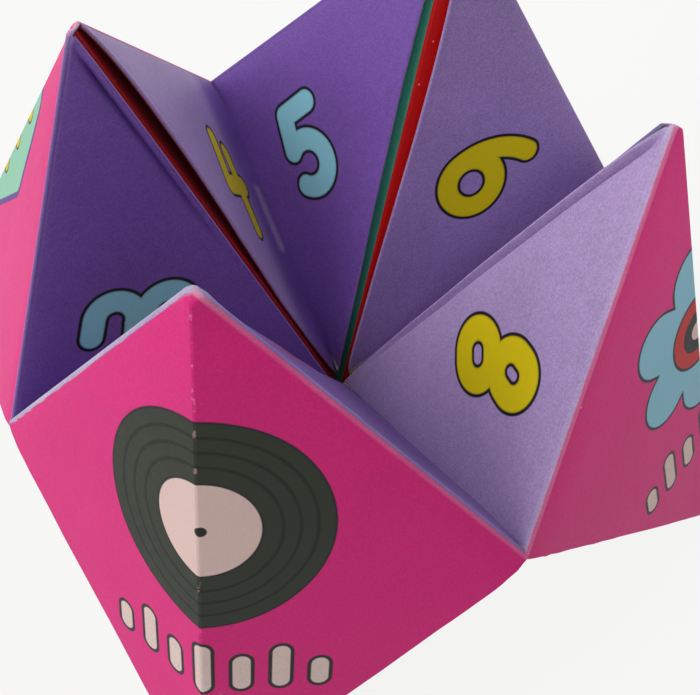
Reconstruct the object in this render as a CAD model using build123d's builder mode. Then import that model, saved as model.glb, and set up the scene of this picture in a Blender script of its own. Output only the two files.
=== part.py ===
"""A paper fortune teller: one square sheet folded twice to its centre and stood open on its four free corners.

The sheet is thirty-two equal right triangles. Eight wings of four layers each run from the four valleys up to the
four tips. From the bowl outwards a wing is its number panel, the lining of its flap, the base, the space for a
finger, and the outer panel. The outer panel and the number panel turn round the folded edge between valley and
tip, the base and the lining turn inside that same edge, and the number panel and the lining turn at the slit.
"""
import os
from math import cos, degrees, radians, sin, sqrt

from build123d import *

# The sheet, in millimetres
sheet_side = 200.0
paper_thickness = 0.2
layer_gap = 0.15  # air that stays between two layers at a pressed fold

# How the sheet stands open: each tip's bearing from +X and its rise from the table, in degrees
tip_bearings = (210.7, 326.4, 44.3, 138.6)
tip_rises = (63.7, 64.7, 62.6, 61.8)

# The flaps in the bowl
flap_lift = 1.2  # degrees that a flap springs up from the base about its folded edge
slit_setback = 0.4  # from the ridge line to the folded edge of a flap
raw_edge_clearance = 0.1  # from the valley to each raw edge that lies in it

centre_radius = 0.5  # the crushed point where the base's eight folds cross

# Worked out from the sheet
leg = sheet_side / 4
diagonal = leg * sqrt(2)
pitch = paper_thickness + layer_gap
inner_bend = pitch / 2  # middle radius of the base's turn into the lining
outer_bend = inner_bend + pitch  # middle radius of the number panel's turn into the outer panel
slit_bend = pitch / 2  # middle radius of the lining's turn into the number panel
overrun = leg / 10  # extra length that the trimming planes take off again

centre = Vector(0, 0, 0)


def tip_point(bearing, rise):
    """A tip, one diagonal of a small square away from the centre."""
    level = cos(radians(rise))
    return Vector(level * cos(radians(bearing)), level * sin(radians(bearing)), sin(radians(rise))) * diagonal


def valley_point(tip, next_tip):
    """The outer end of a valley: one leg from the centre and from both tips, on the low side."""
    middle = (tip + next_tip) * (leg**2 / (diagonal**2 + tip.dot(next_tip)))
    downward = next_tip.cross(tip).normalized()
    return middle + downward * sqrt(leg**2 - middle.dot(middle))


def free_corner(tip, valley, other_valley):
    """The free corner of an outer panel, which mirrors the centre in the plane of its three upper points."""
    normal = (valley - tip).cross(other_valley - tip).normalized()
    return normal * (2 * tip.dot(normal))


def trimmed_layer(section, line, along, run, trims):
    """A stretch of the sheet: a line across a fold, given the paper's thickness, run along the fold and trimmed."""
    with BuildPart() as layer:
        with BuildSketch(section):
            with BuildLine():
                add(line)
            trace(line_width=paper_thickness)
        extrude(amount=run, dir=along)
        for trim in trims:
            split(bisect_by=trim, keep=Keep.TOP)
    return layer.part


def wing(tip, valley, other_valley, neighbour):
    """The layers that turn about the folded edge from one valley up to one tip."""
    along = (tip - valley).normalized()
    inward = (centre - valley).normalized()
    outward = (free_corner(tip, valley, other_valley) - valley).normalized()
    opening = radians(inward.get_angle(outward))
    inside = (inward * cos(opening) - outward).normalized()
    lift = radians(flap_lift)
    lifted_inward = inward * cos(lift) + inside * sin(lift)
    lifted_inside = inside * cos(lift) - inward * sin(lift)

    # The axis that the layers turn about lies one bend above the base, and the base holds tip, valley and centre
    axis_foot = valley + inside * inner_bend
    axis_head = tip + inside * inner_bend

    # Each trimming plane faces the side that this wing keeps
    valley_plane = Plane(origin=centre, z_dir=tip - neighbour)
    raw_edge_plane = valley_plane.offset(raw_edge_clearance)
    ridge_plane = Plane(origin=centre, z_dir=valley - other_valley)
    flap_root_plane = Plane(origin=axis_foot, z_dir=lifted_inward)

    # Sections across the folded edge, with X towards the centre and Y into the bowl
    edge_start = axis_foot - along * overrun
    edge_section = Plane(origin=edge_start, x_dir=inward, z_dir=inward.cross(inside))
    raw_section = Plane(origin=axis_foot, x_dir=inward, z_dir=inward.cross(inside))
    flap_turn = 90 + flap_lift
    with BuildLine() as base_line:
        Line((leg + overrun, -inner_bend), (0, -inner_bend))
        CenterArc((0, 0), inner_bend, 270, flap_turn - 270)
    with BuildLine() as outer_line:
        turn = CenterArc((0, 0), outer_bend, flap_turn, 270 - degrees(opening) - flap_turn)
        PolarLine(turn @ 1, leg + overrun, -degrees(opening))

    # Sections across the slit, with X from the slit into the flap and Y into the bowl
    slit_along = (lifted_inward - along).normalized()
    slit_across = -(lifted_inward + along).normalized()
    slit_start = axis_head - slit_along * overrun
    slit_section = Plane(origin=slit_start, x_dir=slit_across, z_dir=slit_across.cross(lifted_inside))
    bend_centre = slit_setback + slit_bend + paper_thickness / 2
    with BuildLine() as lining_line:
        Line((bend_centre, inner_bend), (leg, inner_bend))
    with BuildLine() as number_line:
        Line((leg, outer_bend), (bend_centre, outer_bend))
        CenterArc((bend_centre, pitch), slit_bend, 90, 180)

    edge_run = leg + 2 * overrun
    slit_run = diagonal + 2 * overrun
    base = trimmed_layer(edge_section, base_line.line, along, edge_run, [valley_plane, ridge_plane])
    lining = trimmed_layer(slit_section, lining_line.line, slit_along, slit_run, [flap_root_plane, valley_plane])
    number = trimmed_layer(slit_section, number_line.line, slit_along, slit_run, [flap_root_plane, raw_edge_plane])
    outer = trimmed_layer(raw_section, outer_line.line, along, leg + overrun, [raw_edge_plane, ridge_plane])
    return [base, lining, number, outer]


tips = [tip_point(bearing, rise) for bearing, rise in zip(tip_bearings, tip_rises)]
valleys = [valley_point(tip, tips[(i + 1) % len(tips)]) for i, tip in enumerate(tips)]

layers = []
for i, tip in enumerate(tips):
    layers += wing(tip, valleys[i], valleys[i - 1], tips[(i + 1) % len(tips)])
    layers += wing(tip, valleys[i - 1], valleys[i], tips[i - 1])

# The origin is on the table, under the middle of the sheet's outline
reach = Compound(children=layers).bounding_box()
stand = (-reach.center().X, -reach.center().Y, -reach.min.Z)

with BuildPart() as folded_sheet:
    with Locations(stand):
        add(layers)
        Sphere(centre_radius)

folded_sheet.part.label = "folded_sheet"
os.makedirs("parts", exist_ok=True)
export_step(folded_sheet.part, "parts/folded_sheet.step")
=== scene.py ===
"""Dresses the paper fortune teller: one printed sheet, folded, creased and a little worn, on a pale floor.

The sheet is one mesh. Each of its eight wings is laid out as four patches that follow the paper round its
folds: the outer panel, the number panel, the lining of the flap and the base. A patch is a grid, with rows
from the valley to the tip and columns across them in the order in which the paper runs. Lengths are in
millimetres until the mesh is made, and so are the prints, in the flat coordinates of their panels.
"""
from dataclasses import dataclass
from math import cos, pi, radians, sin, sqrt

import bmesh
import bpy
import numpy as np
from mathutils import Matrix, Vector, noise


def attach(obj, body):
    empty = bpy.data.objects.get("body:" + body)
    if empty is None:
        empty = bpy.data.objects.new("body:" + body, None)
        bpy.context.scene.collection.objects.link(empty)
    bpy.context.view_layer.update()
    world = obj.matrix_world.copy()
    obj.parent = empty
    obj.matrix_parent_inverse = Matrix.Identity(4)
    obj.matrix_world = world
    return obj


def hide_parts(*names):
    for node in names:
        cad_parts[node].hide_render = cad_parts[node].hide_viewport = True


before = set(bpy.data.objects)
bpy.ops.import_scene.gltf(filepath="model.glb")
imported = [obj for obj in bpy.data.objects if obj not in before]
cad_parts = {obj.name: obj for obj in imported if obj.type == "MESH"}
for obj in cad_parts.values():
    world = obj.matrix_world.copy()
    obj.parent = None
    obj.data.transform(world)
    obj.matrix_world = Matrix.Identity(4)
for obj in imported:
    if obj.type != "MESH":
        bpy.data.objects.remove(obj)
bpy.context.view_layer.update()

MILLIMETRE = 0.001

# The sheet and its folds, in millimetres and degrees, as the part's source has them
sheet_side = 200.0
paper_thickness = 0.2
layer_gap = 0.15
tip_bearings = (210.7, 326.4, 44.3, 138.6)
tip_rises = (63.7, 64.7, 62.6, 61.8)
flap_lift = radians(1.2)
slit_setback = 0.4
raw_edge_clearance = 0.1
centre = np.array((0.329, -2.933, 0.841))  # where the base's folds cross

leg = sheet_side / 4
diagonal = leg * sqrt(2)
pitch = paper_thickness + layer_gap
inner_bend = pitch / 2
outer_bend = inner_bend + pitch
slit_bend = pitch / 2

# How far the real sheet's corners stray from a regular fold: the centre, then the tips and the free corners
# from the front round by the right, and the valleys from the one at the front right
centre_stray = (0.0, -0.2, 0.0)
tip_strays = ((-0.5, 0.62, 0.05), (-0.2, -0.3, 0.0), (0.1, -0.1, 0.0), (0.1, -0.3, 0.0))
free_strays = ((0.1, -0.35, 0.0), (0.0, 0.6, 0.0), (-0.1, 0.0, 0.0), (0.1, 0.3, 0.0))
valley_strays = ((0.2, -0.5, 0.1), (0.1, 0.1, 0.2), (-0.1, -0.1, 0.0), (-0.3, 0.8, 0.1))


@dataclass
class Way:
    """How one wing departs from flat panels."""
    spring: float = 0.2  # rise of its flap near the tip
    settle: float = 0.0  # fall of its flap near the centre
    retreat: float = 0.2  # how far it draws back from the slit near the tip
    reach: float = 0.0  # how far it comes out over the slit near the centre
    lip: float = 0.1  # roll of its slit edge
    lip_crease: float = 0.8  # from the slit to the dent behind the rolled edge
    lip_end: float = 0.5  # share of the slit, from the tip, at which the dent runs out
    valley_rise: float = 0.4  # rise of the number panel beside the valley
    sag: float = 0.0  # sag of the layers in the bowl, in their middle
    curl: float = 0.3  # curl of the outer panel's raw edge
    bulge: float = 0.2  # swelling of the outer panel in its middle
    fold_round: float = 0.2  # its swelling just below its folded edge
    tuck: float = 0.0  # how far its ridge is pressed in
    number_wear: float = 0.2  # purple worn off the folded edge
    outer_wear: float = 0.1  # pink worn off the folded edge
    purple_share: float = 0.5  # how far round the folded edge the purple print reaches
    fade: float = 0.0  # painted sheen: how far the purple is painted paler where light glances off the panel
    painted_valley_shade_reach: float = 0.0  # from the valley to where the painted sheen is full; nearer the valley the purple is left dark, as painted shade
    hem_turn: float = 100.0  # how far round the slit's edge the purple print reaches, in degrees


wing_ways = {
    1: Way(spring=-0.5, settle=0.6, sag=0.8, curl=0.6, fold_round=0.1, outer_wear=0.2, purple_share=0.6),
    # Wing 2's folded edge is pale nearly all round its purple: wear, and a painted highlight where light from
    # behind catches the bend
    2: Way(number_wear=0.85, outer_wear=0.0, purple_share=1.0, fold_round=0.0),
    3: Way(spring=0.8, retreat=0.0, lip=1.7, lip_crease=0.6, bulge=0.0, fold_round=0.0,
           tuck=0.8, number_wear=0.08, purple_share=0.7, hem_turn=60.0),
    4: Way(spring=1.3, settle=1.2, retreat=0.3, valley_rise=1.3, bulge=0.0, fold_round=0.0, tuck=0.8,
           number_wear=0.1, purple_share=0.2, fade=0.34, painted_valley_shade_reach=13.0),
    5: Way(spring=0.9, retreat=0.5, reach=-0.1, valley_rise=1.3, number_wear=0.0, outer_wear=0.0,
           purple_share=0.9),
    6: Way(spring=0.3, settle=0.5, retreat=1.2, reach=1.3, number_wear=0.1, outer_wear=0.0,
           purple_share=0.9, fade=0.3),
    7: Way(spring=0.0),
    8: Way(spring=1.2, settle=-0.5, retreat=0.1, reach=0.5, lip=2.0, lip_crease=0.4, lip_end=0.85, curl=0.0,
           fold_round=0.0, number_wear=0.15, outer_wear=0.35, fade=0.5),
}

# The flaps
spring_peak = 0.28  # share of the slit, from the tip, at which a flap stands out most
spring_fall = 1.7  # the power by which it falls off
reach_end = 0.1  # share of the slit, from the centre, over which a flap's reach sets in
slit_start = 2.0  # from the tip, over which a slit's edge leaves its straight line
lip_width = 0.45  # of the dent behind a rolled edge
lip_height = 0.4
lip_dent = 0.6
lip_shoulder = 0.1  # from the dent to where the roll starts
lip_start = 0.06  # share of the slit, from the tip, over which a roll sets in
lip_drop = 6.0  # from the slit, how far the lining keeps clear of the dent
lining_drop = 1.1  # how far it sinks there, in shares of the roll
lining_slope = 0.3  # the most that it sinks for each millimetre from the folded edge
valley_round = 3.5
valley_margin = 8.0  # from the valley's ends, over which a rise beside it sets in

# The outer panels
curl_reach = 6.0  # from the folded edge to the top of a raw edge's curl
curl_length = 13.0
fold_round_width = 1.3
fold_round_reach = 30.0
fold_round_margin = 6.0
raggedness = 0.12  # of the cut edges
ragged_rate = 0.9
ragged_depth = 0.6
crease_round = 0.15  # half the width over which an outer panel turns at its ridge

# The folded edges, the tips and the slow unevenness of all panels
fold_pinch = 0.16  # how much tighter than the layers below it a worn fold is pressed
fold_point = 0.35  # how much further out its crest is than a round bend's
pinch_reach = 1.5
pinch_end = 2.0  # from the tip, where the pinch runs out
open_share = 0.3  # share of the outer bend, from the bowl, that is open at the tip
tip_crushes = (0.2, 1.0, 0.6, 0.6)  # from each ideal tip down to where the worn one is flat
tip_flatness = 0.15
crush_reach = 8.0
right_tip = 1
right_press = (0.48, 0.48, 0.74)  # the way out from its flat, which slants across its ridge
wobble = 0.14
wobble_length = 11.0
outer_margin = 4.0
flap_margin = 5.0
flap_seed = 20
tiny = 1e-6  # keeps a divisor from nothing

# The wear, and how the painted sheen sets in beside a valley
wear_width = 0.35
tip_wear = 0.5
tip_wear_length = 1.5
most_wear = 0.9
centre_wear_width = 2.2
centre_wear = 1.1
painted_sheen_width = 6.0  # over which the painted sheen sets in, after the painted shade by the valley

# The grids
row_count = 45
panel_columns = 40
lining_columns = 12
bend_columns = 9
hem_columns = 4
join_distance = 0.008
sliver_size = 0.002
sharp_angle = 50

# The colours
number_purple = (121, 84, 168)
# the paler purple of the painted sheen, where light glances off a number panel
painted_sheen_lilac = (212, 190, 220)
# the pale purple of wear, also used for the painted highlight beside the valley
worn_and_highlight_lilac = (222, 208, 230)
outer_pink = (232, 36, 132)
worn_pink = (242, 200, 218)
digit_cyan = (146, 212, 224)
digit_yellow = (222, 200, 0)
ink_dark = (24, 21, 26)
fortune_red = (205, 12, 10)
# a darker copy of the fortune red, as painted shade in the left slit under wings 3 and 4
fortune_red_painted_shade = (162, 5, 24)
fortune_teal = (70, 158, 134)
bare_white = (236, 233, 230)
disc_grey = (43, 49, 37)
disc_groove = (22, 25, 19)
label_pale = (240, 208, 200)
pale_mark = (238, 212, 204)
petal_blue = (150, 205, 226)
eye_red = (206, 44, 48)
kite_purple = (96, 54, 140)
kite_mint = (146, 206, 176)
floor_grey = (236, 236, 235)
floor_white = (252, 252, 251)


def unit(vector):
    return vector / np.linalg.norm(vector)


def linear(colour):
    """A written colour, 0 to 255 a channel, as the linear values that a shader takes."""
    shares = [channel / 255 for channel in colour]
    return [s / 12.92 if s < 0.04045 else ((s + 0.055) / 1.055) ** 2.4 for s in shares] + [1.0]


# The sheet's points
def tip_point(bearing, rise):
    level = cos(radians(rise))
    across = (level * cos(radians(bearing)), level * sin(radians(bearing)))
    return diagonal * np.array((*across, sin(radians(rise))))


def valley_point(tip, next_tip):
    """The outer end of a valley: one leg from the centre and from both tips, on the low side."""
    middle = (tip + next_tip) * leg**2 / (diagonal**2 + tip @ next_tip)
    return middle + unit(np.cross(next_tip, tip)) * sqrt(leg**2 - middle @ middle)


def free_corner(tip, valley, other_valley):
    """The free corner of an outer panel, which mirrors the centre in the plane of its three upper points."""
    normal = unit(np.cross(valley - tip, other_valley - tip))
    return normal * (2 * tip @ normal)


tips = [tip_point(bearing, rise) for bearing, rise in zip(tip_bearings, tip_rises)]
valleys = [valley_point(tip, tips[(i + 1) % len(tips)]) for i, tip in enumerate(tips)]

# Number on the wing: its tip, its valley and the side of the tip that it is on, seen from outside
wing_places = {1: (0, 0, 1), 2: (0, 3, -1), 3: (3, 3, 1), 4: (3, 2, -1),
               5: (2, 2, 1), 6: (2, 1, -1), 7: (1, 1, 1), 8: (1, 0, -1)}


def eased(count, crowding):
    """Shares from 0 to 1, closer together near both ends."""
    even = np.linspace(0, 1, count)
    return even - crowding * np.sin(2 * pi * even) / (2 * pi)


row_shares = eased(row_count, crowding=0.8)
panel_shares = eased(panel_columns, crowding=0.85)
lining_shares = eased(lining_columns, crowding=0.6)


class Wing:
    """One wing's directions, and the lines of paper that turn about its folded edge."""

    def __init__(self, number):
        self.number = number
        tip_index, valley_index, self.side = wing_places[number]
        self.tip_index = tip_index
        tip = tips[tip_index]
        valley = valleys[valley_index]
        other_valley = valleys[tip_index - 1 if self.side > 0 else tip_index]
        neighbour = tips[(tip_index + self.side) % len(tips)]
        self.along = unit(tip - valley)
        self.inward = unit(-valley)
        self.outward = unit(free_corner(tip, valley, other_valley) - valley)
        opening = np.arccos(self.inward @ self.outward)
        self.inside = unit(self.inward * cos(opening) - self.outward)
        self.lifted_inward = self.inward * cos(flap_lift) + self.inside * sin(flap_lift)
        self.lifted_inside = self.inside * cos(flap_lift) - self.inward * sin(flap_lift)
        self.foot = valley + self.inside * inner_bend
        self.tip_stray = np.array(tip_strays[tip_index])
        self.valley_stray = np.array(valley_strays[valley_index])
        self.free_stray = np.array(free_strays[tip_index])
        self.valley_normal = unit(tip - neighbour)
        self.ridge_normal = unit(valley - other_valley)
        self.flap_turn = pi / 2 + flap_lift
        self.outer_turn = 3 * pi / 2 - opening
        self.outer_normal = self.radial(self.outer_turn)
        self.way = wing_ways[number]
        self.bend_turns = np.linspace(self.outer_turn, self.flap_turn, bend_columns)
        self.ink_column = round((1 - self.way.purple_share) * (bend_columns - 1))
        self.slit_reach = leg - sqrt(2) * (slit_setback + slit_bend + paper_thickness / 2)

    def radial(self, angle):
        return self.inward * cos(angle) + self.inside * sin(angle)

    def rows(self, offset, slope, start_gap, end):
        """Places of the rows along a column that starts at the valley, where it is offset from the axis by
        offset plus slope times the distance left to the end."""
        direction = self.along - slope
        begin = self.foot + offset + slope * end
        valley_start = (start_gap - begin @ self.valley_normal) / (direction @ self.valley_normal)
        return valley_start + row_shares * (end - valley_start)

    def ridge_end(self, offset):
        """How far along the folded edge a line at this offset from the axis meets the ridge."""
        return -((self.foot + offset) @ self.ridge_normal) / (self.along @ self.ridge_normal)

    def place(self, along, offset):
        return self.foot + np.outer(along, self.along) + offset

    def slit_length(self, along):
        """From the folded edge across the flap to where it turns at the slit."""
        left = self.slit_reach - along
        turn = left / self.slit_reach
        out = self.way.reach * turn * np.clip((1 - turn) / reach_end, 0, 1)
        back = self.way.retreat * tip_bump(turn) - out
        return left - sqrt(2) * back * np.clip(left / slit_start, 0, 1)

    def pinch(self, along, end):
        """How far a folded edge is pressed in along it."""
        return fold_pinch * np.clip((end - along) / pinch_end, 0, 1)

    def bend_line(self, turn):
        """A line on the outer bend: its rows along the folded edge and their places. The bend is closed at
        the tip but for its inmost part."""
        share = (turn - self.flap_turn) / (self.outer_turn - self.flap_turn)
        offset = self.radial(turn) * outer_bend
        end = self.slit_reach + (self.ridge_end(offset) - self.slit_reach) * min(share / open_share, 1)
        begin = max(self.rows(offset, 0 * offset, raw_edge_clearance, end)[0], 0) * (1 - share)
        along = begin + row_shares * (end - begin)
        pinch = self.pinch(along, end)
        radius = (outer_bend - pinch) * (1 + fold_point * pinch / fold_pinch * sin(pi * share) ** 2)
        return along, self.foot + np.outer(along, self.along) + np.outer(radius, self.radial(turn))

    def wear(self, level, along):
        """How worn the folded edge is along it, more at the tip."""
        return np.clip(level + tip_wear * np.exp((along - leg) / tip_wear_length), 0, most_wear)


def near_centre(along, across, width, level):
    """The wear of a panel in the bowl: along its folded edge, and where the folds cross at the centre."""
    from_centre = np.hypot(along, leg - across) / centre_wear_width
    return np.minimum(width, from_centre**2), leg, np.where(from_centre < 1, centre_wear, level)


def by_row(*values):
    """Values for each row of a column, side by side, where a single value is the same for all rows."""
    return np.stack([np.broadcast_to(value, row_count) for value in values], axis=-1)


class Patch:
    """A grid of the sheet, gathered column by column: places, flat coordinates, and for the wear the distance
    to the folded edge in widths of its wear, the distance to a crease in millimetres and how worn the folded
    edge is."""

    def __init__(self, wing, end_stray):
        self.wing = wing
        self.end_stray = np.array(end_stray)
        self.places = []
        self.flats = []
        self.folds = []

    def add(self, places, along, across, flat, fold):
        """One column, moved as the corners of its panel stray."""
        tip_share = np.outer(along / leg, self.wing.tip_stray)
        end_share = np.outer(across / leg, self.end_stray)
        valley_share = np.outer(1 - (along + across) / leg, self.wing.valley_stray)
        self.places.append(places + tip_share + end_share + valley_share)
        self.flats.append(by_row(*flat))
        self.folds.append(by_row(*fold))


def wobbled(places, seed):
    """A slow unevenness of the paper, the same on each run."""
    return np.array([noise.noise(Vector(p) / wobble_length + Vector((seed, 0, 0))) for p in places]) * wobble


def ragged(across, seed):
    """How far a cut edge strays at places along it."""
    return np.array([noise.noise(Vector((x * ragged_rate, seed, 0))) for x in across]) * raggedness


def outer_patch(wing):
    """From the ridge to the folded edge, and part of the way round the bend."""
    patch = Patch(wing, wing.free_stray)
    way = wing.way
    start = wing.outer_normal * outer_bend
    apex = wing.ridge_end(start)
    crease = unit(wing.outward - wing.along)
    inwards = unit(np.cross(wing.ridge_normal, crease))
    inwards = -inwards * np.sign(inwards @ wing.outer_normal)
    along = row_shares * apex
    wear = wing.wear(way.outer_wear, along)
    for share in panel_shares[::-1]:
        across = share * (apex - along)
        to_ridge = (1 - share) * (apex - along) / sqrt(2)
        to_edge = np.minimum(across, to_ridge)
        places = wing.place(along, start) + np.outer(across, wing.outward)
        rise = way.bulge * 4 * share * (1 - share) * (1 - along / leg)
        fall = np.exp(1 - across / curl_reach - along / curl_length)
        rise += way.curl * (across / curl_reach) * fall * (1 - share**4)
        swell = (1 - np.exp(-across / fold_round_width)) * np.clip(to_ridge / fold_round_margin, 0, 1)
        rise += way.fold_round * swell * np.clip(1 - across / fold_round_reach, 0, 1)
        rise += np.clip(to_edge / outer_margin, 0, 1) * wobbled(places, wing.number)
        rise -= fold_pinch * np.exp(-across / pinch_reach) * np.clip(sqrt(2) * to_ridge / pinch_end, 0, 1)
        sink = way.tuck * share + np.clip(crease_round - to_ridge, 0, None) ** 2 / (2 * crease_round)
        stray = ragged(across, wing.number) * np.exp(-along / ragged_depth) * np.clip(to_edge, 0, 1)
        places = places + np.outer(rise, wing.outer_normal) + np.outer(sink, inwards)
        places = places + np.outer(stray, wing.along)
        patch.add(places, along, across, (wing.side * to_ridge, (along - across) / sqrt(2)),
                  (across / wear_width, to_ridge, wear))
    for turn in wing.bend_turns[1:wing.ink_column + 1]:
        along, places = wing.bend_line(turn)
        beyond = outer_bend * (wing.outer_turn - turn)
        flat = (wing.side * (apex - along) / sqrt(2), (along + beyond) / sqrt(2))
        patch.add(places, along, 0 * along, flat, (0.0, leg, wing.wear(way.outer_wear, along)))
    return patch


def tip_bump(turn):
    """A hump along the slit, from nothing at the tip through one at its peak to nothing at the centre."""
    rise = spring_fall * spring_peak / (1 - spring_peak)
    peak = spring_peak**rise * (1 - spring_peak) ** spring_fall
    return np.clip(turn, 0, 1) ** rise * np.clip(1 - turn, 0, 1) ** spring_fall / peak


def rolled_share(wing, turn):
    """How much the slit's edge rolls up, from the tip to where the roll ends."""
    return np.clip(1 - turn / wing.way.lip_end, 0, 1)


def sag(wing, along, across):
    """How far the layers in the bowl sink at a point, by the full sag in the middle of their triangle."""
    left = np.clip(leg - along - across, 0, None)
    return wing.way.sag * 27 * np.clip(along, 0, None) * across * left / leg**3


def flap_rise(wing, along, across):
    """How far the sprung flap stands up at a point of it."""
    way = wing.way
    reach = np.clip(along + across, tiny, None)
    turn = across / reach
    to_slit = np.clip(wing.slit_length(along) - across, 0, None) / sqrt(2)
    raised = np.clip((way.lip_crease + lip_shoulder - to_slit) / lip_width, 0, 1)
    dented = np.exp(-(((to_slit - way.lip_crease) / lip_width) ** 2))
    lip = lip_height * raised**2 * (3 - 2 * raised) - lip_dent * dented
    lip *= np.sqrt(rolled_share(wing, turn)) * np.clip(turn / lip_start, 0, 1)
    spring = way.spring * tip_bump(turn) - way.settle * tip_bump(1 - turn)
    return spring * (reach / leg) ** 2 + way.lip * lip


def flap_places(wing, along, across, height):
    """Points of the sprung flap at a height above its axis."""
    flat = wing.place(along, wing.lifted_inside * height) + np.outer(across, wing.lifted_inward)
    window = np.clip(np.minimum(across, along) / flap_margin, 0, 1)
    uneven = window * wobbled(flat, wing.number + flap_seed)
    rise = flap_rise(wing, along, across) - sag(wing, along, across) + uneven
    return flat + np.outer(rise, wing.lifted_inside)


def number_flat(wing, along, across):
    return wing.side * (along - leg / 3), leg / 3 - across


def lining_flat(wing, along, across):
    return along, -across


def number_patch(wing):
    """From part of the way round the folded edge to part of the way round the slit."""
    patch = Patch(wing, centre_stray)
    way = wing.way
    for turn in wing.bend_turns[wing.ink_column:-1]:
        along, places = wing.bend_line(turn)
        beyond = outer_bend * (turn - wing.flap_turn)
        patch.add(places, along, 0 * along, number_flat(wing, along, -beyond),
                  (0.0, leg, wing.wear(way.number_wear, along)))
    root = wing.lifted_inside * outer_bend
    for share in panel_shares:
        along = wing.rows(root, share * wing.lifted_inward, raw_edge_clearance, wing.slit_reach)
        length = wing.slit_length(along)
        across = share * length
        to_slit = (length - across) / sqrt(2)
        places = flap_places(wing, along, across, outer_bend)
        ends = np.clip(across / valley_margin, 0, 1) * np.clip(to_slit / valley_margin, 0, 1)
        rise = way.valley_rise * ends * np.exp(-(((along - along[0]) / valley_round) ** 2))
        rise -= wing.pinch(along, wing.slit_reach) * np.exp(-across / pinch_reach)
        places = places + np.outer(rise, wing.lifted_inside)
        patch.add(places, along, across, number_flat(wing, along, across),
                  near_centre(along, across, across / wear_width, wing.wear(way.number_wear, along)))
    for turn in np.linspace(0, radians(way.hem_turn), hem_columns)[1:]:
        add_hem(patch, wing, turn, number_flat)
    return patch


def add_hem(patch, wing, turn, flat):
    """One column round the slit's folded edge."""
    extra = sqrt(2) * slit_bend * sin(turn)
    height = pitch + slit_bend * cos(turn)
    offset = wing.lifted_inside * height + wing.lifted_inward * extra
    along = wing.rows(offset, wing.lifted_inward, raw_edge_clearance * max(cos(turn), 0), wing.slit_reach)
    length = wing.slit_length(along)
    places = flap_places(wing, along, length + extra, height)
    patch.add(places, along, length, flat(wing, along, length + slit_bend * turn),
              near_centre(along, length, width=0.3, level=0.2))


def lining_patch(wing):
    """From the slit, back under the number panel, to half round the inner bend."""
    patch = Patch(wing, centre_stray)
    for turn in np.linspace(radians(wing.way.hem_turn), pi, hem_columns)[:-1]:
        add_hem(patch, wing, turn, lining_flat)
    root = wing.lifted_inside * inner_bend
    for share in lining_shares[::-1]:
        along = wing.rows(root, share * wing.lifted_inward, 0, wing.slit_reach)
        across = share * wing.slit_length(along)
        places = flap_places(wing, along, across, inner_bend)
        to_slit = np.clip(wing.slit_length(along) - across, 0, None) / sqrt(2)
        turn = across / np.clip(along + across, tiny, None)
        clear = np.sqrt(np.sin(pi * np.clip(to_slit / lip_drop, 0, 1)) * rolled_share(wing, turn))
        drop = np.minimum(lining_drop * wing.way.lip * clear, lining_slope * across)
        places = places - np.outer(drop, wing.lifted_inside)
        patch.add(places, along, across, lining_flat(wing, along, across),
                  near_centre(along, across, width=leg, level=0.0))
    for turn in np.linspace(wing.flap_turn, pi, hem_columns)[1:]:
        add_inner_bend(patch, wing, turn, (turn - wing.flap_turn) / (pi - wing.flap_turn))
    return patch


def add_inner_bend(patch, wing, turn, share):
    """One unworn column round the turn of the lining into the base."""
    offset = wing.radial(turn) * inner_bend
    end = wing.ridge_end(offset) * share + wing.slit_reach * (1 - share)
    along = wing.rows(offset, 0 * offset, 0, end)
    patch.add(wing.place(along, offset), along, 0 * along, lining_flat(wing, along, 0.0), (leg, leg, 0.0))


def base_patch(wing):
    """From half round the inner bend to the ridge."""
    patch = Patch(wing, centre_stray)
    for turn in np.linspace(pi, 3 * pi / 2, hem_columns)[:-1]:
        add_inner_bend(patch, wing, turn, 1)
    root = -wing.inside * inner_bend
    for share in lining_shares:
        along = wing.rows(root, share * wing.inward, 0, leg)
        across = share * (leg - along)
        places = wing.place(along, root) + np.outer(across, wing.inward)
        places = places - np.outer(sag(wing, along, across), wing.inside)
        patch.add(places, along, across, (along, across), near_centre(along, across, width=leg, level=0.0))
    return patch


def crushed(places, wing):
    """The patch with its worn tip flattened."""
    tip = tips[wing.tip_index]
    press = unit(np.array(right_press)) if wing.tip_index == right_tip else unit(tip)
    excess = np.clip((places - tip) @ press + tip_crushes[wing.tip_index], 0, None)
    excess *= np.clip(2 - np.linalg.norm(places - tip, axis=-1) / crush_reach * 2, 0, 1)
    return places - excess[..., None] * (1 - tip_flatness) * press


# Shader nodes
def add_node(tree, kind, inputs=(), **settings):
    """A new node with these settings, its inputs given in order or by key as values or as sockets to link."""
    made = tree.nodes.new(kind)
    for name, value in settings.items():
        setattr(made, name, value)
    keyed = inputs.items() if isinstance(inputs, dict) else enumerate(inputs)
    for key, value in keyed:
        if isinstance(value, bpy.types.NodeSocket):
            tree.links.new(value, made.inputs[key])
        elif value is not None:
            made.inputs[key].default_value = value
    return made


def maths(tree, operation, *values, clamp=False):
    return add_node(tree, "ShaderNodeMath", values, operation=operation, use_clamp=clamp).outputs[0]


def vector_maths(tree, operation, *values, output="Vector"):
    return add_node(tree, "ShaderNodeVectorMath", values, operation=operation).outputs[output]


def between(tree, value, low, high, to_low=0.0, to_high=1.0):
    """A smooth step of value from low to high, either way round."""
    values = (value, low, high, to_low, to_high)
    made = add_node(tree, "ShaderNodeMapRange", values, interpolation_type="SMOOTHSTEP", clamp=True)
    return made.outputs["Result"]


def mixed(tree, factor, first, second):
    """Two colours, given as sockets or as linear values, mixed by a factor."""
    return add_node(tree, "ShaderNodeMix", {0: factor, 6: first, 7: second}, data_type="RGBA").outputs[2]


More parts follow.
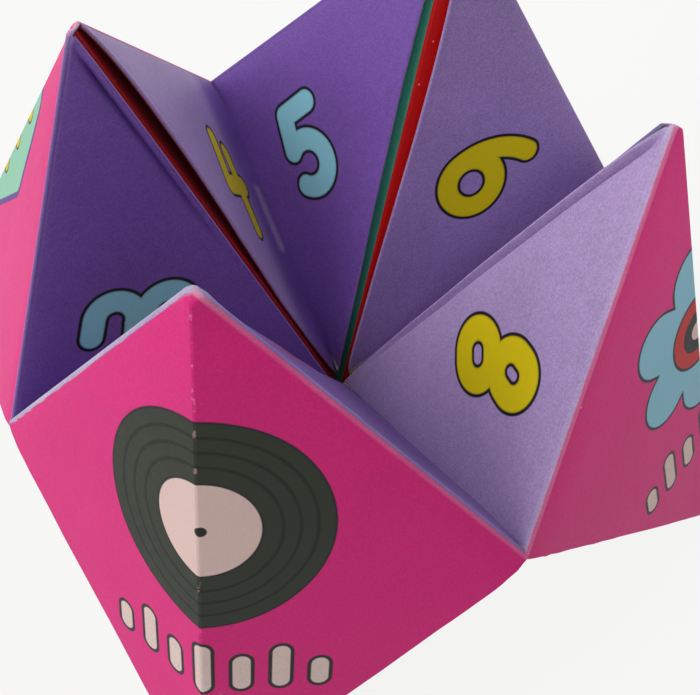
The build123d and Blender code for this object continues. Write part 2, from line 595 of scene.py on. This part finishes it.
def noise_at(tree, vector, scale, detail, roughness):
    inputs = {"Vector": vector, "Scale": scale, "Detail": detail, "Roughness": roughness}
    return add_node(tree, "ShaderNodeTexNoise", inputs).outputs["Fac"]


def swing(tree, value, level):
    """A noise from 0 to 1 as one about nothing."""
    return maths(tree, "MULTIPLY", maths(tree, "SUBTRACT", value, 0.5), level)


def new_group(name, inputs, outputs):
    """A node group and its input and output sockets, which are given as names with their kinds."""
    group = bpy.data.node_groups.new(name, "ShaderNodeTree")
    for socket, kind in inputs.items():
        group.interface.new_socket(socket, in_out="INPUT", socket_type="NodeSocket" + kind)
    for socket, kind in outputs.items():
        group.interface.new_socket(socket, in_out="OUTPUT", socket_type="NodeSocket" + kind)
    return group, group.nodes.new("NodeGroupInput").outputs, group.nodes.new("NodeGroupOutput").inputs


def use_group(tree, group, inputs):
    return add_node(tree, "ShaderNodeGroup", inputs, node_tree=group).outputs


def make_segment_group():
    """Distance from a point to a straight stroke."""
    tree, given, result = new_group(
        "segment_distance", {"Spot": "Vector", "Start": "Vector", "End": "Vector"}, {"Distance": "Float"})
    reach = vector_maths(tree, "SUBTRACT", given["End"], given["Start"])
    offset = vector_maths(tree, "SUBTRACT", given["Spot"], given["Start"])
    along = vector_maths(tree, "DOT_PRODUCT", offset, reach, output="Value")
    length = vector_maths(tree, "DOT_PRODUCT", reach, reach, output="Value")
    share = maths(tree, "DIVIDE", along, length, clamp=True)
    nearest = add_node(tree, "ShaderNodeVectorMath", {0: reach, "Scale": share}, operation="SCALE").outputs[0]
    tree.links.new(vector_maths(tree, "DISTANCE", offset, nearest, output="Value"), result["Distance"])
    return tree


def make_arc_group():
    """Distance from a point to a round stroke, which reaches a half span to each side of its middle angle."""
    tree, given, result = new_group(
        "arc_distance",
        {"Spot": "Vector", "Centre": "Vector", "Radius": "Float", "Middle": "Float", "Half span": "Float"},
        {"Distance": "Float"})
    offset = vector_maths(tree, "SUBTRACT", given["Spot"], given["Centre"])
    back = maths(tree, "MULTIPLY", given["Middle"], -1.0)
    rotation = {"Vector": offset, "Angle": back}
    turned = add_node(tree, "ShaderNodeVectorRotate", rotation, rotation_type="Z_AXIS").outputs[0]
    folded = vector_maths(tree, "MULTIPLY", vector_maths(tree, "ABSOLUTE", turned), (0.0, 1.0, 0.0))
    level = vector_maths(tree, "MULTIPLY", turned, (1.0, 0.0, 0.0))
    upper = vector_maths(tree, "ADD", folded, level)
    parts = add_node(tree, "ShaderNodeSeparateXYZ", (upper,)).outputs
    angle = maths(tree, "ARCTAN2", parts["Y"], parts["X"])
    on_arc = maths(tree, "LESS_THAN", angle, given["Half span"])
    from_centre = vector_maths(tree, "LENGTH", upper, output="Value")
    to_ring = maths(tree, "ABSOLUTE", maths(tree, "SUBTRACT", from_centre, given["Radius"]))
    end_x = maths(tree, "MULTIPLY", given["Radius"], maths(tree, "COSINE", given["Half span"]))
    end_y = maths(tree, "MULTIPLY", given["Radius"], maths(tree, "SINE", given["Half span"]))
    end = add_node(tree, "ShaderNodeCombineXYZ", (end_x, end_y)).outputs[0]
    to_end = vector_maths(tree, "DISTANCE", upper, end, output="Value")
    mix = add_node(tree, "ShaderNodeMix", (on_arc, None, to_end, to_ring), data_type="FLOAT")
    tree.links.new(mix.outputs[0], result["Distance"])
    return tree


segment_distance = make_segment_group()
arc_distance = make_arc_group()


# What is printed
def stroke_distance(tree, spot, stroke):
    """Distance to one stroke: a straight one from two points, a loop at a radius round two points, or a round
    one from a centre, a radius, a middle angle and a half span."""
    if len(stroke) < 4:
        start, end = stroke[:2]
        values = {"Spot": spot, "Start": (*start, 0), "End": (*end, 0)}
        straight = use_group(tree, segment_distance, values)[0]
        if len(stroke) == 2:
            return straight
        return maths(tree, "ABSOLUTE", maths(tree, "SUBTRACT", straight, stroke[2]))
    middle_point, radius, middle, half_span = stroke
    values = {"Spot": spot, "Centre": (*middle_point, 0), "Radius": radius,
              "Middle": radians(middle), "Half span": radians(half_span)}
    return use_group(tree, arc_distance, values)[0]


def strokes_distance(tree, spot, strokes):
    distances = [stroke_distance(tree, spot, stroke) for stroke in strokes]
    nearest = distances[0]
    for distance in distances[1:]:
        nearest = maths(tree, "MINIMUM", nearest, distance)
    return nearest


def circle_distance(tree, spot, middle, radius):
    """Distance outside a circle, less than nothing inside it."""
    from_middle = vector_maths(tree, "DISTANCE", spot, (*middle, 0), output="Value")
    return maths(tree, "SUBTRACT", from_middle, radius)


print_blur = 0.09


def inked(tree, distance, edge=0.0):
    """One where a distance is under an edge, with a slightly soft border."""
    return between(tree, distance, edge + print_blur, edge - print_blur)


def painted(tree, distance, edge, colour, ink):
    """A colour with an ink over it where a distance is under an edge."""
    return mixed(tree, inked(tree, distance, edge), colour, linear(ink))


full_turn = 180
digit_places = {1: (0, 5.0), 2: (0, 1.5), 3: (-1.0, 2.0), 4: (1.6, 0),
                5: (-2.8, 1.2), 6: (-0.5, 1.7), 7: (0, 1.5), 8: (-0.7, 2.6)}
digit_strokes = {
    1: [((0.8, 5.8), (0.8, -5.8)), ((0.8, 5.8), (-1.8, 3.6))],
    2: [((0, 2.8), 3.0, 62, 112), ((2.0, 0.5), (-2.8, -5.6)), ((-2.8, -5.6), (3.2, -5.6))],
    3: [((-3.2, 6.9), (-0.7, 6.95)), ((-0.7, 4.25), 2.7, 0, 95), ((-0.9, 1.5), (-2.3, 1.4)),
        ((0.5, -2.5), 3.0, -5, 100)],
    4: [((-1.6, 6.4), (-3.2, -0.4)), ((-3.2, -0.4), (4.2, -0.4)), ((2.2, 4.4), (2.0, -6.8))],
    5: [((3.2, 5.6), (-1.5, 5.3)), ((-1.5, 5.3), (-2.35, 0.9)), ((-0.3, -2.2), 3.35, 0, 130)],
    6: [((0, -1.8), 3.6, 0, full_turn), ((6.0, -1.4), 9.6, 150, 32)],
    7: [((-3.0, 5.6), (3.2, 5.6)), ((3.2, 5.6), (-0.8, -5.8))],
    8: [((-0.75, 3.2), (-0.45, 4.0), 2.6), ((-0.9, -3.7), (0.0, -3.3), 2.75)],
}
digit_halves = {1: 1.5, 2: 1.5, 3: 1.46, 4: 1.5, 5: 1.55, 6: 1.5, 7: 1.5, 8: 1.6}
digit_outline = 0.42
rim_start = 0.8  # share of a stroke's half width at which its darker rim starts
rim_shade = 0.86
painted_highlights = {4: ((11.2, -0.9), (10.9, -10.0))}  # painted highlights: pale strokes beside the valley where the curved paper catches light
highlight_width = 1.3
highlight_level = 0.35


def digit_print(number):
    """What draws a wing's number, a rounded stroke with a dark line round it and a softly darker rim."""
    fill = digit_yellow if number % 2 == 0 else digit_cyan
    darker = [channel * rim_shade for channel in fill]
    half = digit_halves[number]
    side = wing_places[number][2]
    painted_valley_shade_reach = wing_ways[number].painted_valley_shade_reach

    def draw(tree, spot, colour):
        # Painted shade: the purple stays dark near the valley and takes on the painted sheen further out
        if painted_valley_shade_reach:
            sideways = add_node(tree, "ShaderNodeSeparateXYZ", (spot,)).outputs["X"]
            from_valley = maths(tree, "MULTIPLY_ADD", sideways, side, leg / 3)
            painted_sheen_share = between(tree, from_valley, painted_valley_shade_reach - painted_sheen_width, painted_valley_shade_reach)
            colour = mixed(tree, painted_sheen_share, linear(number_purple), colour)
        # A painted highlight: a pale streak beside the valley where the curved paper catches light
        if number in painted_highlights:
            to_highlight = stroke_distance(tree, spot, painted_highlights[number])
            highlighted = between(tree, to_highlight, highlight_width, 0.0, to_high=highlight_level)
            colour = mixed(tree, highlighted, colour, linear(worn_and_highlight_lilac))
        moved = vector_maths(tree, "SUBTRACT", spot, (*digit_places[number], 0))
        distance = strokes_distance(tree, moved, digit_strokes[number])
        drawn = inked(tree, distance, half + digit_outline)
        colour = mixed(tree, drawn, colour, linear(ink_dark))
        rim = between(tree, distance, half * rim_start, half)
        filled = mixed(tree, rim, linear(fill), linear(darker))
        return mixed(tree, inked(tree, distance, half), colour, filled), drawn

    return draw


def ringed(tree, spot, colour, middle, rings):
    """Discs drawn one on another, each a radius and a colour."""
    for radius, ink in rings:
        colour = painted(tree, circle_distance(tree, spot, middle, radius), 0.0, colour, ink)
    return colour


bar_lengths = (2.0, 4.4, 3.0, 5.4, 3.4, 4.6, 2.2)
bar_pitch = 4.4
bar_half = 1.0
bar_outline = 0.45


def mark_row(tree, spot, colour, foot=-17.1):
    """A row of small pale bars of several heights under a figure."""
    bars = []
    for i, length in enumerate(bar_lengths):
        x = bar_pitch * (i - len(bar_lengths) // 2)
        bars.append(((x, foot), (x, foot + length)))
    distance = strokes_distance(tree, spot, bars)
    colour = painted(tree, distance, bar_half + bar_outline, colour, ink_dark)
    return painted(tree, distance, bar_half, colour, pale_mark)


def draw_disc(tree, spot, colour):
    """The front: a dark ringed disc with a pale label."""
    middle = (0.3, 7.6)
    radius = 13.9
    rings = [(radius, ink_dark), (13.65, disc_grey), (12.15, disc_groove), (11.75, disc_grey),
             (10.35, disc_groove), (9.95, disc_grey), (8.55, disc_groove), (8.15, disc_grey),
             (6.4, ink_dark), (6.15, label_pale), (0.65, ink_dark)]
    colour = ringed(tree, spot, colour, middle, rings)
    drawn = inked(tree, circle_distance(tree, spot, middle, radius))
    return mark_row(tree, spot, colour, foot=-15.6), drawn


def draw_flower(tree, spot, colour):
    """The right: a pale blue flower with a red and dark eye."""
    height = 4
    petal_half = 4.2
    edge = 4.6
    petals = []
    for turn in np.radians(np.arange(30, 360, 60)):
        petals.append([(reach * cos(turn), height + reach * sin(turn)) for reach in (3.5, 9.0)])
    distance = strokes_distance(tree, spot, petals)
    colour = painted(tree, distance, edge, colour, ink_dark)
    colour = painted(tree, distance, petal_half, colour, petal_blue)
    rings = [(5.6, ink_dark), (5.2, eye_red), (3.2, ink_dark), (1.4, label_pale)]
    colour = ringed(tree, spot, colour, (0, height), rings)
    return mark_row(tree, spot, colour), inked(tree, distance, edge)


def draw_kite(tree, spot, colour):
    """The left: a mint kite with yellow dots and a purple border."""
    head = (0, 19)
    tail = (0, -4)
    right = (4.5, 9)
    left = (-4.5, 9)
    half = 2.8
    edge = 3.6
    body = [(head, right), (head, left), (right, tail), (left, tail), (head, tail)]
    distance = strokes_distance(tree, spot, body)
    colour = painted(tree, distance, edge, colour, kite_purple)
    colour = painted(tree, distance, half, colour, kite_mint)
    for y in (16, 9, 2):
        colour = ringed(tree, spot, colour, (0, y), [(1.5, ink_dark), (1.2, digit_yellow)])
    return mark_row(tree, spot, colour), inked(tree, distance, edge)


def draw_sun(tree, spot, colour):
    """The back: a yellow round with a teal ring."""
    middle = (0, 5)
    radius = 13.0
    rings = [(radius, ink_dark), (12.5, fortune_teal), (9.0, ink_dark), (8.6, digit_yellow)]
    colour = ringed(tree, spot, colour, middle, rings)
    return mark_row(tree, spot, colour), inked(tree, circle_distance(tree, spot, middle, radius))


def draw_overprint(tree, spot, colour):
    """A teal base panel: the red of its neighbour reaches a little past the ridge."""
    overprint = inked(tree, stroke_distance(tree, spot, ((0, leg), (leg, 0))), edge=0.45)
    return mixed(tree, overprint, colour, linear(fortune_red)), overprint


# The materials
tooth_depth = 0.00006  # in metres
ink_grain = 0.35


def make_worn_group():
    """The paper under a print: fibres, mottle, pale wear along folds and creases, specks, tooth and gloss."""
    tree, given, result = new_group(
        "worn_print", {"Print": "Color", "Worn": "Color", "Grain": "Float"},
        {"Colour": "Color", "Roughness": "Float", "Normal": "Vector"})
    place = add_node(tree, "ShaderNodeTexCoord").outputs["Object"]
    folds = add_node(tree, "ShaderNodeAttribute", attribute_name="folds").outputs["Vector"]
    to = add_node(tree, "ShaderNodeSeparateXYZ", (folds,)).outputs
    fibres = noise_at(tree, place, scale=4200.0, detail=1.0, roughness=0.5)
    mottle = noise_at(tree, place, scale=900.0, detail=3.0, roughness=0.6)
    cloud = noise_at(tree, place, scale=90.0, detail=2.0, roughness=0.5)
    fray = noise_at(tree, place, scale=2600.0, detail=3.0, roughness=0.7)
    patchy = noise_at(tree, place, scale=160.0, detail=2.0, roughness=0.5)
    chips = noise_at(tree, place, scale=1100.0, detail=2.0, roughness=0.5)

    # Ink that lies unevenly
    uneven = maths(tree, "ADD", swing(tree, fibres, level=0.32), swing(tree, mottle, level=0.12))
    uneven = maths(tree, "ADD", uneven, swing(tree, cloud, level=0.12))
    level = maths(tree, "ADD", maths(tree, "MULTIPLY", uneven, given["Grain"]), 1.0)
    spread = add_node(tree, "ShaderNodeCombineXYZ", (level, level, level)).outputs[0]
    colour = vector_maths(tree, "MULTIPLY", given["Print"], spread)

    # Pale wear on the folded edges, and cracks on the creases
    frayed = maths(tree, "ADD", maths(tree, "MULTIPLY", fray, 0.9), maths(tree, "MULTIPLY", patchy, 0.7))
    near_fold = between(tree, to["X"], low=1.0, high=0.0)
    bare = maths(tree, "MULTIPLY", maths(tree, "MULTIPLY", near_fold, frayed), to["Z"], clamp=True)
    near_crease = between(tree, to["Y"], low=0.3, high=0.05)
    chipped = between(tree, chips, low=0.58, high=0.68, to_high=0.35)
    cracked = maths(tree, "MULTIPLY", near_crease, chipped)
    colour = mixed(tree, bare, colour, given["Worn"])
    colour = mixed(tree, cracked, colour, given["Worn"])

    # White specks, more of them near the folds
    cells = add_node(tree, "ShaderNodeTexVoronoi", {"Vector": place, "Scale": 420.0})
    chance = add_node(tree, "ShaderNodeSeparateColor", (cells.outputs["Color"],)).outputs[0]
    least_chance = between(tree, to["X"], low=6.0, high=1.0, to_low=0.985, to_high=0.93)
    chosen = maths(tree, "GREATER_THAN", chance, least_chance)
    dot = between(tree, cells.outputs["Distance"], low=0.07, high=0.03)
    speck = maths(tree, "MULTIPLY", maths(tree, "MULTIPLY", chosen, dot), 0.5)
    colour = mixed(tree, speck, colour, linear(bare_white))

    rough = maths(tree, "ADD", maths(tree, "MULTIPLY", mottle, 0.2), 0.42)
    tooth = maths(tree, "ADD", fibres, maths(tree, "MULTIPLY", mottle, 1.4))
    bump = add_node(tree, "ShaderNodeBump", {"Strength": 0.35, "Distance": tooth_depth, "Height": tooth})
    tree.links.new(colour, result["Colour"])
    tree.links.new(rough, result["Roughness"])
    tree.links.new(bump.outputs[0], result["Normal"])
    return tree


worn_print = make_worn_group()


def printed_material(name, ground, worn, draw=None, sheen=0.05, ground_grain=1.0):
    """Printed paper: a ground colour in linear values, what is drawn on it, and the wear of the sheet."""
    material = bpy.data.materials.new(name)
    material.use_nodes = True
    tree = material.node_tree
    shader = tree.nodes["Principled BSDF"]
    shader.inputs["Specular IOR Level"].default_value = 0.25
    shader.inputs["Sheen Weight"].default_value = sheen
    shader.inputs["Sheen Roughness"].default_value = 0.45
    colour = ground
    grain = ground_grain
    if draw:
        spot = add_node(tree, "ShaderNodeUVMap", uv_map="panel").outputs[0]
        colour, drawn = draw(tree, spot, colour)
        tree.links.new(between(tree, drawn, 0.0, 1.0, sheen, 0.0), shader.inputs["Sheen Weight"])
        grain = between(tree, drawn, 0.0, 1.0, ground_grain, ink_grain)
    surface = use_group(tree, worn_print, {"Print": colour, "Worn": linear(worn), "Grain": grain})
    tree.links.new(surface["Colour"], shader.inputs["Base Color"])
    tree.links.new(surface["Roughness"], shader.inputs["Roughness"])
    tree.links.new(surface["Normal"], shader.inputs["Normal"])
    return material


def number_material(number):
    """A number panel: purple, painted paler on some panels as a painted sheen where light glances off them.
    """
    fade = wing_ways[number].fade
    channels = zip(linear(number_purple), linear(painted_sheen_lilac))
    ground = [purple * (1 - fade) + pale * fade for purple, pale in channels]
    return printed_material(f"number_panel_{number}", ground, worn_and_highlight_lilac, digit_print(number), sheen=0.12,
                            ground_grain=2.2)


outer_faces = {"front": draw_disc, "right": draw_flower, "back": draw_sun, "left": draw_kite}
fortune_colours = {1: fortune_teal, 2: fortune_red, 3: fortune_red_painted_shade, 4: fortune_red_painted_shade, 5: fortune_teal,
                   6: fortune_red, 7: fortune_teal, 8: fortune_teal}

materials = []
material_index = {}


def add_material(key, material):
    material_index[key] = len(materials)
    materials.append(material)


def add_fortune(name, ink, worn, draw=None):
    add_material(("fortune", ink), printed_material(name, linear(ink), worn, draw))


for number in wing_places:
    add_material(("number", number), number_material(number))
for tip_index, (face, draw) in enumerate(outer_faces.items()):
    outer = printed_material(f"outer_panel_{face}", linear(outer_pink), worn_pink, draw)
    add_material(("outer", tip_index), outer)
add_fortune("fortune_red", fortune_red, worn_pink)
# The red in the left slit is darkened: painted shade
add_fortune("fortune_red_painted_shade", fortune_red_painted_shade, worn_pink)
add_fortune("fortune_teal", fortune_teal, worn_and_highlight_lilac, draw_overprint)
add_material("bare", printed_material("bare_paper", linear(bare_white), bare_white))


# The sheet's mesh
def gather_patches():
    """All patches as places, flat coordinates, wear, faces and the faces' materials."""
    places, flats, folds, faces, face_materials = [], [], [], [], []
    for number in wing_places:
        wing = Wing(number)
        fortune = material_index["fortune", fortune_colours[number]]
        patches = [
            (outer_patch(wing), material_index["outer", wing.tip_index]),
            (number_patch(wing), material_index["number", number]),
            (lining_patch(wing), fortune),
            (base_patch(wing), fortune),
        ]
        flipped = np.cross(wing.along, wing.outward) @ wing.outer_normal < 0
        for patch, material in patches:
            columns = len(patch.places)
            first = sum(len(p) for p in places)
            grid = crushed(np.stack(patch.places, axis=1), wing)
            places.append(grid.reshape(-1, 3))
            flats.append(np.stack(patch.flats, axis=1).reshape(-1, 2))
            folds.append(np.stack(patch.folds, axis=1).reshape(-1, 3))
            for row in range(row_count - 1):
                for column in range(columns - 1):
                    low = first + row * columns + column
                    quad = (low, low + 1, low + columns + 1, low + columns)
                    faces.append(quad[::-1] if flipped else quad)
                    face_materials.append(material)
    return np.concatenate(places), np.concatenate(flats), np.concatenate(folds), faces, face_materials


def make_sheet():
    """The patches joined into one sheet of the paper's thickness."""
    places, flats, folds, faces, face_materials = gather_patches()
    places = places + centre
    places[:, 2] = np.maximum(places[:, 2], paper_thickness / 2)  # nothing sinks into the floor
    places *= MILLIMETRE

    mesh = bpy.data.meshes.new("folded_sheet_paper")
    mesh.from_pydata(places.tolist(), [], faces)
    mesh.polygons.foreach_set("material_index", face_materials)
    mesh.polygons.foreach_set("use_smooth", [True] * len(faces))
    panel = mesh.uv_layers.new(name="panel")
    corners = np.array([loop.vertex_index for loop in mesh.loops])
    panel.data.foreach_set("uv", flats[corners].astype(np.float32).ravel())
    attribute = mesh.attributes.new("folds", "FLOAT_VECTOR", "POINT")
    attribute.data.foreach_set("vector", folds.astype(np.float32).ravel())

    # The patches are one sheet, so the points that they share are joined
    joined = bmesh.new()
    joined.from_mesh(mesh)
    bmesh.ops.remove_doubles(joined, verts=joined.verts, dist=join_distance * MILLIMETRE)
    bmesh.ops.dissolve_degenerate(joined, edges=joined.edges, dist=sliver_size * MILLIMETRE)
    joined.to_mesh(mesh)
    joined.free()
    for material in materials:
        mesh.materials.append(material)

    # The back of every face takes the last material, which is bare
    sheet = bpy.data.objects.new("folded_sheet_paper", mesh)
    bpy.context.scene.collection.objects.link(sheet)
    thickness = sheet.modifiers.new("thickness", "SOLIDIFY")
    thickness.thickness = paper_thickness * MILLIMETRE
    thickness.offset = 0
    thickness.material_offset = len(materials)
    bpy.context.view_layer.update()
    solid = bpy.data.meshes.new_from_object(sheet.evaluated_get(bpy.context.evaluated_depsgraph_get()))
    sheet.modifiers.clear()
    sheet.data = solid
    solid.set_sharp_from_angle(angle=radians(sharp_angle))
    return sheet


sheet = make_sheet()
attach(sheet, "root")
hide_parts("folded_sheet")

# The floor and the light, in metres
floor_half = 1.5
floor_glow = 0.9  # share of plain white in what the camera sees of the floor
sheet_middle = Vector((0, 0, 0.03))
spot_softness = 0.03


def seen_directly(tree):
    """One for a camera ray, also by a reflection or through glass."""
    seen = add_node(tree, "ShaderNodeLightPath").outputs
    direct = maths(tree, "ADD", seen["Is Camera Ray"], seen["Is Glossy Ray"])
    return maths(tree, "ADD", direct, seen["Is Transmission Ray"], clamp=True)


def make_floor():
    """A pale floor that the camera sees nearly white, with part of the sheet's shadow."""
    mesh = bpy.data.meshes.new("floor")
    corners = [(x * floor_half, y * floor_half, 0) for x, y in ((-1, -1), (1, -1), (1, 1), (-1, 1))]
    mesh.from_pydata(corners, [], [(0, 1, 2, 3)])
    floor = bpy.data.objects.new("floor", mesh)
    bpy.context.scene.collection.objects.link(floor)
    material = bpy.data.materials.new("pale_floor")
    material.use_nodes = True
    tree = material.node_tree
    tree.nodes.clear()
    share = maths(tree, "MULTIPLY", seen_directly(tree), floor_glow)
    lit = add_node(tree, "ShaderNodeBsdfDiffuse", {"Color": linear(floor_grey)})
    white = add_node(tree, "ShaderNodeEmission", {"Color": linear(floor_white), "Strength": 1.0})
    blend = add_node(tree, "ShaderNodeMixShader", (share, lit.outputs[0], white.outputs[0]))
    add_node(tree, "ShaderNodeOutputMaterial", {"Surface": blend.outputs[0]})
    mesh.materials.append(material)


def make_world(level):
    """An even light all round, which the camera sees as white."""
    world = bpy.data.worlds.new("studio")
    world.use_nodes = True
    tree = world.node_tree
    background = tree.nodes["Background"]
    background.inputs["Color"].default_value = (1, 1, 1, 1)
    strength = add_node(tree, "ShaderNodeMapRange", (seen_directly(tree), 0.0, 1.0, level, 1.0))
    tree.links.new(strength.outputs[0], background.inputs["Strength"])
    bpy.context.scene.world = world


def aim_lamp(lamp, direction, distance, target):
    """Puts a lamp at a distance from its target and turns it to that."""
    made = bpy.data.objects.new(lamp.name, lamp)
    towards = Vector(direction).normalized()
    made.location = towards * distance + target
    made.rotation_euler = towards.to_track_quat("Z", "Y").to_euler()
    bpy.context.scene.collection.objects.link(made)


def make_lamp(name, direction, distance, size, level):
    """A soft square lamp. A level of one lights a surface that faces it about as brightly as its colour is
    written."""
    lamp = bpy.data.lights.new(name, "AREA")
    lamp.size = size
    lamp.energy = level * pi * pi * distance**2
    aim_lamp(lamp, direction, distance, sheet_middle)


def make_spot(name, direction, distance, target, spread, level):
    """A narrow soft lamp aimed at one panel, with its level as for the others."""
    lamp = bpy.data.lights.new(name, "SPOT")
    lamp.spot_size = radians(spread)
    lamp.spot_blend = 1.0
    lamp.shadow_soft_size = spot_softness
    lamp.energy = level * 4 * pi * pi * distance**2
    aim_lamp(lamp, direction, distance, Vector(target) * MILLIMETRE)


make_floor()
make_lamp("key", (-0.55, 0.55, 0.75), distance=0.7, size=0.5, level=0.36)
make_lamp("left", (-0.95, 0.1, 0.6), distance=0.7, size=0.5, level=0.3)
make_lamp("fill", (0.85, 0.28, 0.65), distance=0.7, size=0.6, level=0.31)
make_spot("back_panel", (-0.45, -0.53, 0.72), distance=0.16, target=(31, 8, 37), spread=21.0, level=0.4)
make_world(level=0.29)

# The camera, at the photograph's angle
camera_place = (-45.2, -70.0, 142.8)
camera_bearing = 55.53
camera_dip = 57.87
camera_roll = 7.57
camera_lens = 55.38
camera_clip = 0.01  # in metres


def make_camera():
    camera = bpy.data.cameras.new("camera")
    camera.lens = camera_lens
    camera.clip_start = camera_clip
    made = bpy.data.objects.new("camera", camera)
    turn = Matrix.Rotation(radians(camera_bearing - 90), 4, "Z")
    tilt = Matrix.Rotation(radians(90 - camera_dip), 4, "X")
    roll = Matrix.Rotation(radians(camera_roll), 4, "Z")
    made.matrix_world = Matrix.Translation(Vector(camera_place) * MILLIMETRE) @ turn @ tilt @ roll
    bpy.context.scene.collection.objects.link(made)
    bpy.context.scene.camera = made


make_camera()
bpy.context.scene.view_settings.view_transform = "Standard"

bpy.context.view_layer.update()
